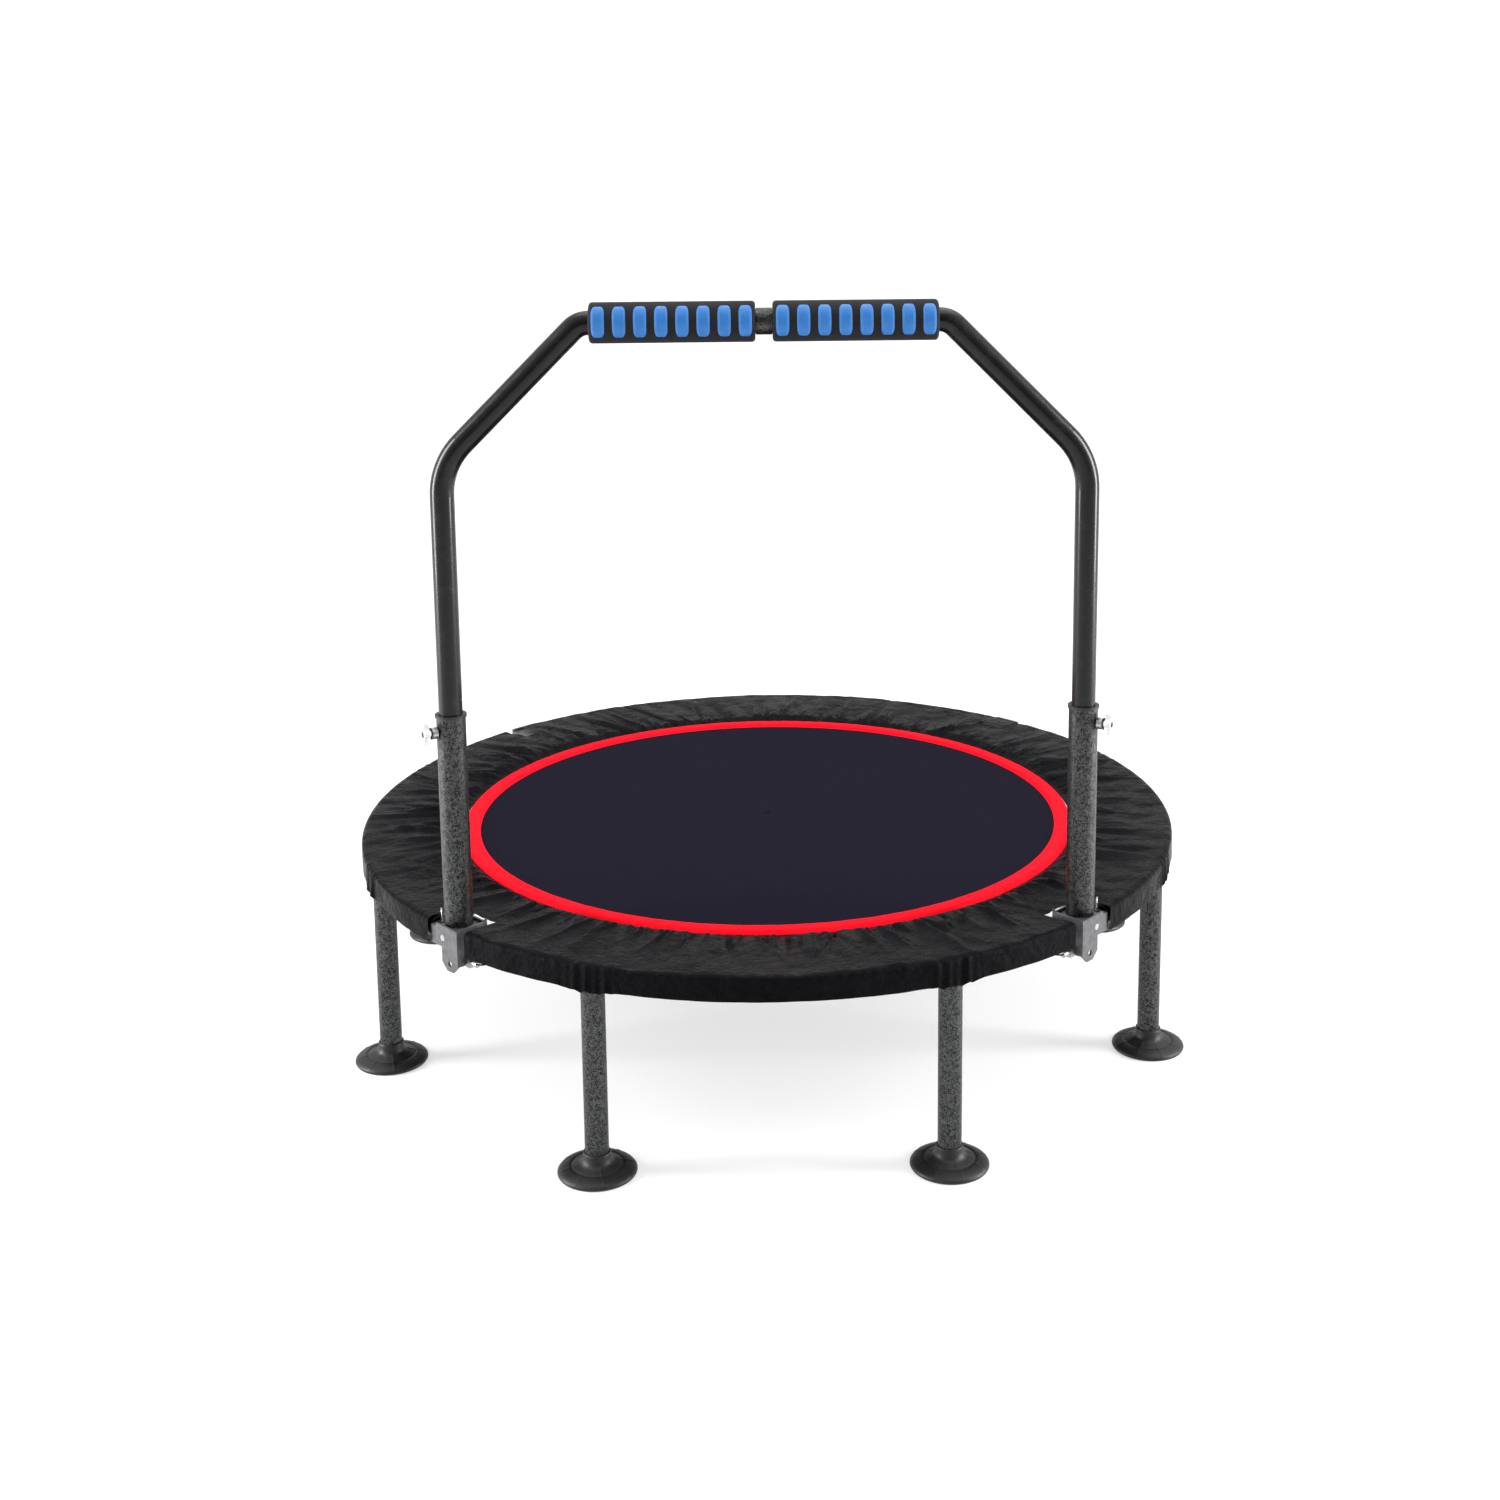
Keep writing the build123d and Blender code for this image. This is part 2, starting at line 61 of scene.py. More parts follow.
# Sizes repeated from the CAD design, in millimetres
RIM_R = 495.0
RIM_Z = 228.0
MAT_R = 386.0
MAT_TOP = 235.0
BAND_IN = 364.0
SKIRT_BOTTOM = 215.0
COVER_OUT = 510.0
CREASE = {"a": (135.0, 315.0), "b": (-45.0, 135.0)}
LEG_ANGLES = [22.5 + 45 * i for i in range(8)]
POST_X = 345.07
RAIL_Y = -345.07
RAIL_Z = 903.0
GRIP_R = 21.75


# ---------------------------------------------------------------- helpers
def link(obj):
    bpy.context.scene.collection.objects.link(obj)
    return obj


def mesh_piece(name, verts_mm, faces, material, smooth=True, normals=None):
    """A mesh object from points in millimetres."""
    mesh = bpy.data.meshes.new(name)
    points = (np.asarray(verts_mm, float) * MM).tolist()
    mesh.from_pydata(points, [], faces)
    mesh.update()
    mesh.polygons.foreach_set("use_smooth", [smooth] * len(mesh.polygons))
    if normals is not None:
        mesh.normals_split_custom_set_from_vertices([tuple(n) for n in normals])
    mesh.materials.append(material)
    return link(bpy.data.objects.new(name, mesh))


def grid_faces(rows, columns, skip=lambda i, j: False, wrap=False):
    """Quads of a grid whose points run row by row."""
    faces = []
    last = columns if wrap else columns - 1
    for i in range(rows - 1):
        for j in range(last):
            if skip(i, j):
                continue
            k = (j + 1) % columns
            faces.append((i * columns + j, i * columns + k, (i + 1) * columns + k, (i + 1) * columns + j))
    return faces


def tube(points_mm, radius, sides=8):
    """Points and faces of a closed tube along a line of points."""
    points = np.asarray(points_mm, float)
    tangent = np.gradient(points, axis=0)
    tangent /= np.linalg.norm(tangent, axis=1)[:, None]
    side = np.cross(tangent[0], (0.13, 0.27, 0.95))
    side /= np.linalg.norm(side)
    verts = []
    for p, t in zip(points, tangent):
        side = side - t * side.dot(t)
        side /= np.linalg.norm(side)
        other = np.cross(t, side)
        for k in range(sides):
            a = 2 * pi * k / sides
            verts.append(p + radius * (cos(a) * side + sin(a) * other))
    faces = grid_faces(len(points), sides, wrap=True)
    faces.append(tuple(reversed(range(sides))))
    faces.append(tuple(range(len(verts) - sides, len(verts))))
    return verts, faces


def joined(parts):
    """Several (points, faces) pairs as one."""
    verts, faces = [], []
    for more_verts, more_faces in parts:
        start = len(verts)
        verts.extend(more_verts)
        faces.extend(tuple(i + start for i in face) for face in more_faces)
    return verts, faces


def ring_spot(angle, radius, z=0.0):
    return np.array([radius * cos(radians(angle)), radius * sin(radians(angle)), z])


# ---------------------------------------------------------------- materials
class Surface:
    """A node material around one Principled shader."""

    def __init__(self, name, **settings):
        self.material = bpy.data.materials.new(name)
        self.material.use_nodes = True
        self.tree = self.material.node_tree
        self.shader = self.tree.nodes["Principled BSDF"]
        for socket, value in settings.items():
            self.shader.inputs[socket.replace("_", " ")].default_value = value
        self.place = self.tree.nodes.new("ShaderNodeTexCoord").outputs["Object"]

    def node(self, kind, inputs=None, **settings):
        node = self.tree.nodes.new(kind)
        for key, value in settings.items():
            setattr(node, key, value)
        for key, value in (inputs or {}).items():
            if isinstance(value, bpy.types.NodeSocket):
                self.tree.links.new(value, node.inputs[key])
            else:
                node.inputs[key].default_value = value
        return node

    def noise(self, scale, detail=3.0, roughness=0.5, vector=None):
        inputs = {"Vector": vector or self.place, "Scale": scale, "Detail": detail, "Roughness": roughness}
        return self.node("ShaderNodeTexNoise", inputs).outputs["Fac"]

    def waves(self, scale, direction, distortion=0.0, vector=None):
        inputs = {"Vector": vector or self.place, "Scale": scale, "Distortion": distortion}
        made = self.node("ShaderNodeTexWave", inputs, wave_type="BANDS", bands_direction=direction)
        return made.outputs["Fac"]

    def cells(self, scale, feature="F1"):
        made = self.node("ShaderNodeTexVoronoi", {"Vector": self.place, "Scale": scale}, feature=feature)
        return made.outputs["Distance"]

    def math(self, operation, a, b=0.5):
        return self.node("ShaderNodeMath", {0: a, 1: b}, operation=operation).outputs[0]

    def spread(self, value, low, high, out_low=0.0, out_high=1.0):
        inputs = {"Value": value, "From Min": low, "From Max": high, "To Min": out_low, "To Max": out_high}
        return self.node("ShaderNodeMapRange", inputs).outputs[0]

    def colour(self, value, first, second):
        inputs = {"Factor": value, "A": (*first, 1), "B": (*second, 1)}
        made = self.node("ShaderNodeMix", None, data_type="RGBA")
        self.tree.links.new(value, made.inputs[0])
        made.inputs[6].default_value = inputs["A"]
        made.inputs[7].default_value = inputs["B"]
        return made.outputs[2]

    def use(self, socket, value):
        self.tree.links.new(value, self.shader.inputs[socket])

    def bump(self, height, distance, strength=1.0, below=None):
        inputs = {"Height": height, "Distance": distance, "Strength": strength}
        if below is not None:
            inputs["Normal"] = below
        return self.node("ShaderNodeBump", inputs).outputs["Normal"]


def hammertone():
    s = Surface("hammertone", Metallic=1.0)
    veins = s.noise(800, 3.0, 0.6)
    blotch = s.noise(260, 2.0, 0.5)
    mixed = s.math("ADD", s.math("MULTIPLY", veins, 0.7), s.math("MULTIPLY", blotch, 0.3))
    s.use("Base Color", s.colour(s.spread(mixed, 0.40, 0.60), (0.008, 0.0085, 0.0085), (0.105, 0.107, 0.107)))
    s.use("Roughness", s.spread(veins, 0.3, 0.7, 0.38, 0.48))
    s.use("Normal", s.bump(mixed, 0.0002, 0.2))
    return s.material


def black_tube():
    s = Surface("black_tube", Metallic=0.0, Specular_IOR_Level=0.2, Coat_Weight=0.15, Coat_Roughness=0.06)
    peel = s.noise(300, 3.0)
    scuffs = s.noise(60, 6.0, 0.7)
    s.use("Base Color", s.colour(s.spread(scuffs, 0.55, 0.75), (0.006, 0.006, 0.007), (0.016, 0.016, 0.018)))
    s.use("Roughness", s.spread(scuffs, 0.3, 0.8, 0.20, 0.34))
    s.use("Normal", s.bump(peel, 0.0002, 0.2))
    return s.material


def galvanised():
    s = Surface("galvanised", Metallic=0.7)
    spangle = s.cells(160)
    grime = s.noise(45, 5.0, 0.6)
    s.use("Base Color", s.colour(s.spread(spangle, 0.1, 0.8), (0.078, 0.078, 0.083), (0.118, 0.118, 0.124)))
    s.use("Roughness", s.spread(grime, 0.3, 0.7, 0.40, 0.55))
    s.use("Normal", s.bump(grime, 0.0004, 0.2))
    return s.material


def zinc(name="zinc_bolt"):
    s = Surface(name, Metallic=1.0)
    stain = s.noise(240, 4.0)
    s.use("Base Color", s.colour(stain, (0.30, 0.30, 0.29), (0.55, 0.55, 0.54)))
    s.use("Roughness", s.spread(stain, 0.3, 0.7, 0.22, 0.4))
    s.use("Normal", s.bump(stain, 0.0002, 0.2))
    return s.material


def moulded(name, dark, light, low=0.42, high=0.6):
    s = Surface(name, Specular_IOR_Level=0.4)
    grain = s.noise(900, 2.0)
    cloud = s.noise(35, 3.0)
    s.use("Base Color", s.colour(cloud, dark, light))
    s.use("Roughness", s.spread(cloud, 0.3, 0.7, low, high))
    s.use("Normal", s.bump(grain, 0.0002, 0.25))
    return s.material


def foam():
    s = Surface("grip_foam", Specular_IOR_Level=0.25, Roughness=0.85)
    pores = s.cells(1400)
    cloud = s.noise(70, 3.0)
    s.use("Base Color", s.colour(cloud, (0.008, 0.008, 0.010), (0.018, 0.018, 0.021)))
    s.use("Normal", s.bump(pores, 0.0005, 0.5))
    return s.material


def blue_pad():
    s = Surface("pad_blue", Roughness=0.45, Specular_IOR_Level=0.4, Subsurface_Weight=0.08)
    s.shader.inputs["Subsurface Radius"].default_value = (0.002, 0.002, 0.004)
    cloud = s.noise(120, 3.0)
    s.use("Base Color", s.colour(cloud, (0.018, 0.145, 0.45), (0.036, 0.21, 0.58)))
    s.use("Normal", s.bump(s.waves(420, "Z", 1.0), 0.00015, 0.3))
    return s.material


def mat_weave():
    s = Surface("mat_fabric", Specular_IOR_Level=0.015)
    weave = s.math("MULTIPLY", s.waves(320, "X"), s.waves(320, "Y"))
    cloud = s.noise(9, 4.0)
    s.use("Base Color", s.colour(cloud, (0.0078, 0.0070, 0.0134), (0.0094, 0.0084, 0.0157)))
    s.use("Roughness", s.spread(cloud, 0.3, 0.7, 0.85, 0.95))
    s.use("Normal", s.bump(weave, 0.0004, 0.35))
    return s.material


def red_cloth():
    s = Surface("red_fabric", Roughness=0.7, Specular_IOR_Level=0.04)
    weave = s.math("MULTIPLY", s.waves(500, "X"), s.waves(500, "Y"))
    cloud = s.noise(25, 3.0)
    s.use("Base Color", s.colour(cloud, (0.86, 0.0018, 0.009), (0.95, 0.0035, 0.014)))
    s.use("Normal", s.bump(weave, 0.0003, 0.25))
    return s.material


def black_cloth():
    s = Surface("cover_fabric", Specular_IOR_Level=0.018)
    weave = s.math("MULTIPLY", s.waves(620, "X"), s.waves(620, "Y"))
    # The crumple noise drives the bump, the roughness and the base colour. In the colour it is painted shade: the
    # bump's hollows are painted darker and its crests lighter.
    crumple_and_hollow_shade = s.noise(42, 6.0, 0.62)
    billow = s.noise(15, 3.0, 0.5)
    # Painted shade: the base colour darkens where the crumple bump sinks and lightens on its crests.
    s.use("Base Color", s.colour(crumple_and_hollow_shade, (0.0030, 0.0030, 0.0037), (0.0066, 0.0066, 0.0075)))
    s.use("Roughness", s.spread(crumple_and_hollow_shade, 0.3, 0.7, 0.23, 0.34))
    fine = s.bump(weave, 0.00025, 0.25)
    wide = s.bump(billow, 0.016, 0.55, below=fine)
    s.use("Normal", s.bump(crumple_and_hollow_shade, 0.009, 0.7, below=wide))
    return s.material


MATERIALS = {
    "hammertone": hammertone(),
    "black_tube": black_tube(),
    "galvanised": galvanised(),
    "zinc_bolt": zinc(),
    "black_plastic": moulded("black_plastic", (0.010, 0.010, 0.010), (0.022, 0.022, 0.022)),
    "white_plastic": moulded("white_plastic", (0.62, 0.62, 0.60), (0.76, 0.76, 0.74), 0.3, 0.45),
    "foot_rubber": moulded("foot_rubber", (0.006, 0.006, 0.0066), (0.012, 0.012, 0.0128), 0.42, 0.58),
    "grip_foam": foam(),
    "pad_blue": blue_pad(),
    "mat_fabric": mat_weave(),
    "red_fabric": red_cloth(),
    "cover_fabric": black_cloth(),
}


def finish_cad_nodes():
    """Every CAD node that stays gets its slot's procedural material."""
    for part in frame["record"]["subparts"]:
        node = bpy.data.objects.get(part["node"])
        material = MATERIALS[part["material_slot"]]
        for holder in node.material_slots:
            holder.link = "OBJECT"
            holder.material = material


# ---------------------------------------------------------------- camera, floor, light
def make_camera():
    """A slightly long lens from standing height, tipped down a little, with the frame shifted down."""
    pitch, roll, yaw = radians(10.0), radians(-0.479), radians(-1.2285)
    data = bpy.data.cameras.new("camera")
    data.sensor_width = 36
    data.lens = 47.19
    data.shift_x = -0.0313
    data.shift_y = -0.1864
    camera = link(bpy.data.objects.new("camera", data))
    turn = Matrix.Rotation(yaw, 4, "Z") @ Matrix.Rotation(pi / 2 - pitch, 4, "X") @ Matrix.Rotation(roll, 4, "Z")
    camera.matrix_world = Matrix.Translation((-0.0108, -2.4122, 1.1075)) @ turn
    bpy.context.scene.camera = camera


def make_floor():
    """A pale floor that curves up into a plain wall."""
    profile = [(-6.0, 0.0), (3.0, 0.0)]
    profile += [(3.0 + 1.5 * sin(a), 1.5 - 1.5 * cos(a)) for a in np.linspace(0.1, pi / 2, 12)]
    profile += [(4.5, 5.0)]
    verts = [(x * 1000, y * 1000, z * 1000) for y, z in profile for x in (-7, 7)]
    s = Surface("floor", Roughness=0.9, Specular_IOR_Level=0.1, Emission_Strength=0.58)
    s.shader.inputs["Emission Color"].default_value = (1, 1, 1, 1)
    tone = s.noise(0.8, 2.0)
    s.use("Base Color", s.colour(tone, (0.45, 0.45, 0.45), (0.47, 0.47, 0.47)))
    floor = mesh_piece("floor", verts, grid_faces(len(profile), 2), s.material)


def area_light(name, spot, target, size, power):
    data = bpy.data.lights.new(name, "AREA")
    data.shape = "RECTANGLE"
    data.size, data.size_y = size
    data.energy = power
    light = link(bpy.data.objects.new(name, data))
    light.location = spot
    light.rotation_euler = (Vector(target) - Vector(spot)).to_track_quat("-Z", "Y").to_euler()


def make_light():
    area_light("overhead", (0.3, 0.4, 3.4), (0, 0, 0), (3.2, 3.2), 70)
    area_light("left_box", (-2.9, -0.5, 1.0), (0, 0, 0.4), (0.8, 2.4), 150)
    area_light("right_box", (2.9, -0.5, 1.0), (0, 0, 0.4), (0.8, 2.4), 150)
    world = bpy.data.worlds.new("studio")
    world.use_nodes = True
    tree = world.node_tree
    place = tree.nodes.new("ShaderNodeTexCoord")
    parts = tree.nodes.new("ShaderNodeSeparateXYZ")
    tree.links.new(place.outputs["Generated"], parts.inputs[0])
    front_dark = tree.nodes.new("ShaderNodeMapRange")
    front_dark.inputs["From Min"].default_value = -0.95
    front_dark.inputs["From Max"].default_value = -0.35
    front_dark.inputs["To Min"].default_value = 0.12
    front_dark.inputs["To Max"].default_value = 1.0
    tree.links.new(parts.outputs["Y"], front_dark.inputs["Value"])
    tree.links.new(front_dark.outputs[0], tree.nodes["Background"].inputs["Color"])
    tree.nodes["Background"].inputs["Strength"].default_value = 1.0
    bpy.context.scene.world = world
    bpy.context.scene.view_settings.view_transform = "Standard"


# ---------------------------------------------------------------- mat
def mat_half(half):
    """Half of the round mat, stretched flat."""
    start, stop = CREASE[half]
    radii = np.linspace(6, MAT_R - 0.6, 40)
    angles = np.radians(np.linspace(start, stop, 91))
    top = MAT_TOP - 0.4
    verts = []
    for r in radii:
        for a in angles:
            verts.append((r * cos(a), r * sin(a), top))
    verts.append((0, 0, top))
    columns = len(angles)
    faces = grid_faces(len(radii), columns)
    faces += [(len(verts) - 1, j, j + 1) for j in range(columns - 1)]
    piece = mesh_piece(f"mat_cloth_{half}", verts, faces, MATERIALS["mat_fabric"], smooth=False)
    thick = piece.modifiers.new("thickness", "SOLIDIFY")
    thick.thickness = 1.3 * MM
    thick.offset = -1
    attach(piece, f"mat_half_{half}")
    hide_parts(f"mat_{half}")


def crease_tape():
    """A strip of webbing under the fold line, sewn to half a."""
    along = np.array([cos(radians(135)), sin(radians(135)), 0])
    across = np.array([sin(radians(135)), -cos(radians(135)), 0])
    rows = []
    for z in (232.9, 232.1):
        for distance in np.linspace(-376, 376, 60):
            for width in (-27, -0.5):
                rows.append(along * distance + across * width + (0, 0, z))
    count = 60 * 2
    faces = grid_faces(60, 2)
    faces += [tuple(i + count for i in reversed(f)) for f in grid_faces(60, 2)]
    for i in range(59):
        faces.append((2 * i, 2 * i + 2, 2 * i + 2 + count, 2 * i + count))
        faces.append((2 * i + 3, 2 * i + 1, 2 * i + 1 + count, 2 * i + 3 + count))
    piece = mesh_piece("crease_tape", rows, faces, MATERIALS["mat_fabric"], smooth=False)
    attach(piece, "mat_half_a")


def edge_webbing(half):
    """The doubled webbing at the mat's edge that holds the rings, seen from below."""
    start, stop = CREASE[half]
    angles = np.radians(np.linspace(start + 0.08, stop - 0.08, 121))
    outline = [(352, 232.9), (352, 231.6), (384, 231.4), (385.2, 232.2), (384, 232.9)]
    verts = [(r * cos(a), r * sin(a), z) for r, z in outline for a in angles]
    faces = grid_faces(len(outline), len(angles))
    piece = mesh_piece(f"edge_webbing_{half}", verts, faces, MATERIALS["cover_fabric"])
    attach(piece, f"mat_half_{half}")


def red_band(half):
    """The padded red binding: rounded, with two sunk lines of stitching."""
    start, stop = CREASE[half]
    columns = 361
    angles = np.radians(np.linspace(start + 0.04, stop - 0.04, columns))
    width = MAT_R + 0.6 - BAND_IN
    steps = np.linspace(0, 1, 25)
    verts, rows = [], 0
    for s in steps:
        r = BAND_IN + width * s
        crown = (1 - abs(2 * s - 1) ** 5) * 5.2
        sunk = sum(0.5 * np.exp(-((s - line) / 0.025) ** 2) for line in (0.1, 0.9))
        for j, a in enumerate(angles):
            stitch = 0.3 + 0.7 * (0.5 + 0.5 * sin(j * 2 * pi / 2.4))
            pucker = 0.12 * sin(a * 131) + 0.1 * sin(a * 47 + 1)
            verts.append((r * cos(a), r * sin(a), MAT_TOP - 0.3 + crown - sunk * stitch + pucker * crown / 5))
        rows += 1
    faces = grid_faces(rows, columns)
    floor_start = len(verts)
    for r in (BAND_IN + width, BAND_IN):
        verts.extend((r * cos(a), r * sin(a), MAT_TOP - 0.35) for a in angles)
    last = (rows - 1) * columns
    for j in range(columns - 1):
        f = floor_start
        faces.append((last + j, last + j + 1, f + j + 1, f + j))
        faces.append((f + j, f + j + 1, f + columns + j + 1, f + columns + j))
        faces.append((f + columns + j, f + columns + j + 1, j + 1, j))
    for j in (0, columns - 1):
        ring = [i * columns + j for i in range(rows)] + [floor_start + j, floor_start + columns + j]
        faces.append(tuple(ring if j else reversed(ring)))
    piece = mesh_piece(f"red_binding_{half}", verts, faces, MATERIALS["red_fabric"])
    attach(piece, f"mat_half_{half}")
    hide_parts(f"red_band_{half}")


# ---------------------------------------------------------------- cover
SECTOR = 15.0
NOTCH_ARC = 36.0          # cut back from a hinge towards the front or back arc
NOTCH_SIDE = 29.0
NOTCH_START = 466.0
COVERED_NOTCH_START = 503.0   # where the cover runs on over a bracket with no post
COLUMNS = 56
NOTCH_COLUMNS = 12
FLAP = 2.2


def cover_rows():
    """The cover's outline from its inner edge to the hem: (radius, height, how free it is, outwardness)."""
    rows = [(386.9, 234.8, 0.0, 0), (387.1, 235.8, 0.0, 0), (388.2, 236.4, 0.06, 0), (390.0, 237.0, 0.18, 0), (392.2, 237.8, 0.35, 0)]
    rows += [(394.6, 238.8, 0.6, 0), (397.2, 239.9, 0.85, 0)]
    for r in np.linspace(400, 500, 34):
        drop = ((r - 400) / 100) ** 2
        rows.append((r, 241.0 + 1.8 * drop, 1.0 - 0.6 * drop, 0))
    rows += [(503.5, 243.0, 0.40, 0), (506.5, 242.6, 0.3, 0.2), (508.8, 241.6, 0.15, 0.6), (509.9, 239.8, 0.1, 1)]
    rows += [(510.1, z, 0.25 + 0.6 * ((239.8 - z) / 24) ** 2, 1) for z in np.linspace(237.2, SKIRT_BOTTOM, 11)]
    rows += [(508.9, SKIRT_BOTTOM - 0.4, 0.8, 1), (508.5, SKIRT_BOTTOM + 2, 0.6, 1)]
    return rows


ROWS = cover_rows()


def make_folds():
    """Seeded gathers: angle, lean, width, height, reach, each as one array."""
    dice = np.random.RandomState(SEED)
    count = 230
    angle = np.arange(count) * 360 / count + dice.uniform(-0.7, 0.7, count)
    lean = dice.normal(0, 0.25, count)
    width = dice.uniform(0.20, 0.62, count)
    height = dice.uniform(1.0, 6.4, count) * dice.choice([1, 1, 1, -0.9], count)
    reach = 20 + 100 * dice.uniform(0, 1, count) ** 2.0
    return angle, lean, width, height, reach


FOLDS = make_folds()


def fold_height(theta, r):
    """Height of the gathers over the smooth cover, in millimetres, at angles (degrees) and radii."""
    total = np.zeros_like(theta)
    for angle, lean, width, height, reach in zip(*FOLDS):
        outward = r - 387
        centre = angle + lean * np.degrees(outward / RIM_R)
        gap = (theta - centre + 180) % 360 - 180
        spread = width * (0.6 + outward / 70)
        shape = 1 / (1 + (gap / spread) ** 2) ** 1.6
        trough = 1 / (1 + ((gap - 1.7 * spread) / (0.8 * spread)) ** 2) ** 1.6
        fade = np.exp(-(np.clip(outward, 0, None) / reach) ** 2)
        total += height * fade * (shape - 0.45 * trough)
    slow = 1.5 * np.sin(np.radians(theta * 7 + r * 0.5)) + 1.2 * np.sin(np.radians(theta * 17 - r * 0.9 + 40))
    wander = 25 * np.sin(np.radians(theta * 3 + 20)) + 18 * np.sin(np.radians(theta * 11 - 50))
    creases = 1.9 * np.abs(np.sin(np.radians(theta * 26 + r * 1.2 + wander)))
    creases += 1.4 * np.abs(np.sin(np.radians(theta * 47 - r * 2.1 - 2 * wander)))
    return total + slow + creases - 1.6


def leg_pucker(theta):
    """How close an angle is to a leg, from 0 to 1."""
    gap = (theta - 22.5 + 22.5) % 45 - 22.5
    return np.exp(-(gap / 3.0) ** 4)


def over_back_bracket(theta, r):
    """The lowest the cover can lie over the two back brackets."""
    along = np.radians(45 - np.abs(theta % 360 - 90)) * r
    beyond = np.maximum.reduce([along - 27, -14 - along, 465 - r, np.zeros_like(r)])
    plates = 243.5 - 0.35 * beyond
    corner = 245.8 - 0.5 * np.hypot(along - 25, r - 469.5)
    return np.maximum(plates, corner)


def cover_points(theta, row):
    """Points of the cover at arrays of angle (degrees) and row number."""
    r, z, free, out = (np.interp(row, np.arange(len(ROWS)), [x[k] for x in ROWS]) for k in range(4))
    h = fold_height(theta, r)
    near_leg = leg_pucker(theta)
    ripple = np.sin(np.radians(theta * 271)) * 0.9 + np.sin(np.radians(theta * 163 + 30)) * 0.9
    highest = np.clip(0.2 * (r - 388), 0.1, 8.5)
    deepest = -np.clip(0.28 * (r - 387), 0.2, 5.5)
    lift = np.clip(free * h, deepest, highest) * (1 - out)
    bulge = out * (0.22 * h * free + near_leg * (0.35 + free) * (0.8 + 1.5 * ripple))
    radius = r + np.clip(bulge, -0.9, 4.0)
    hem = out * near_leg * free * (-3.0 + 1.9 * ripple)
    height = np.clip(z + lift + hem, 209.0, None)
    height = np.where(out > 0.1, height, np.maximum(height, 234.8))
    height = np.where(out > 0.1, height, np.maximum(height, over_back_bracket(theta, r)))
    return np.stack([radius * np.cos(np.radians(theta)), radius * np.sin(np.radians(theta)), height], axis=-1)


def cover_normals(theta, row):
    """Normals of the whole cover, so that sectors meet without a line."""
    turn = cover_points(theta + 0.06, row) - cover_points(theta - 0.06, row)
    rise = cover_points(theta, np.minimum(row + 0.4, len(ROWS) - 1)) - cover_points(theta, np.maximum(row - 0.4, 0))
    normal = np.cross(rise, turn)
    return normal / np.linalg.norm(normal, axis=-1)[..., None]


def sector_columns(start, r):
    """Angles across a sector at a radius; the columns next to a hinge follow its notch."""
    hinge_first = (start - 45) % 90 == 0
    hinge_last = (start + SECTOR - 45) % 90 == 0
    on_front_or_back = (start - 45) % 180 < 90
    notch = degrees(asin((NOTCH_ARC if on_front_or_back else NOTCH_SIDE) / r))
    if hinge_first:
        near = np.linspace(0, notch, NOTCH_COLUMNS + 1)
        far = np.linspace(notch, SECTOR, COLUMNS - NOTCH_COLUMNS)[1:]
        return start + np.concatenate([near, far])
    if hinge_last:
        far = np.linspace(0, SECTOR - notch, COLUMNS - NOTCH_COLUMNS)
        near = np.linspace(SECTOR - notch, SECTOR, NOTCH_COLUMNS + 1)[1:]
        return start + np.concatenate([far, near])
    return start + np.linspace(0, SECTOR, COLUMNS)


def cover_sector(half, start):
    """One sixth of a quarter of the cover, from the mat's edge to the hem."""
    hinge_first = (start - 45) % 90 == 0
    hinge_last = (start + SECTOR - 45) % 90 == 0
    theta = np.array([sector_columns(start, row[0]) for row in ROWS])
    drop = np.zeros(COLUMNS)
    flap_angles = np.array([0.25, 0.8, 1.5, FLAP])
    at_last_crease = half == "a" and (start + SECTOR) % 360 in (135, 315)
    at_first_crease = half == "a" and start % 360 in (135, 315)
    if at_first_crease:
        theta = np.concatenate([theta[:, :1] - flap_angles[::-1], theta], axis=1)
        drop = np.concatenate([[-2.2, -2.1, -1.9, -1.5], drop])
    if at_last_crease:
        theta = np.concatenate([theta, theta[:, -1:] + flap_angles], axis=1)
        drop = np.concatenate([drop, [-1.5, -1.9, -2.1, -2.2]])
    rows, columns = theta.shape
    row = np.repeat(np.arange(rows, dtype=float)[:, None], columns, axis=1)
    points = cover_points(theta, row)
    points[..., 2] += drop
    normals = cover_normals(theta, row)
    hinge = (start if hinge_first else start + SECTOR) % 360
    covered = hinge == 45 or (hinge == 135 and half == "b")
    notch_start = COVERED_NOTCH_START if covered else NOTCH_START
    first_notch_row = next(i for i, x in enumerate(ROWS) if x[0] >= notch_start)
    extra = len(flap_angles)
    first_count = NOTCH_COLUMNS + (extra if at_first_crease else 0)
    last_count = NOTCH_COLUMNS + (extra if at_last_crease else 0)

    def cut(i, j):
        in_notch = (hinge_first and j < first_count) or (hinge_last and j >= columns - 1 - last_count)
        return i >= first_notch_row and in_notch

    faces = [tuple(reversed(face)) for face in grid_faces(rows, columns, cut)]
    used = sorted({i for face in faces for i in face})
    index = {old: new for new, old in enumerate(used)}
    faces = [tuple(index[i] for i in face) for face in faces]
    verts = points.reshape(-1, 3)[used]
    kept_normals = normals.reshape(-1, 3)[used]
    name = f"cover_{half}_{int(start % 360):03d}"
    piece = mesh_piece(name, verts, faces, MATERIALS["cover_fabric"], normals=kept_normals)
    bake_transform(piece)
    if start % 360 in (135, 315):
        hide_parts(f"cover_{half}", f"skirt_{half}")


def make_cover():
    for half, (start, stop) in CREASE.items():
        for k in range(int((stop - start) / SECTOR)):
            cover_sector(half, start + k * SECTOR)


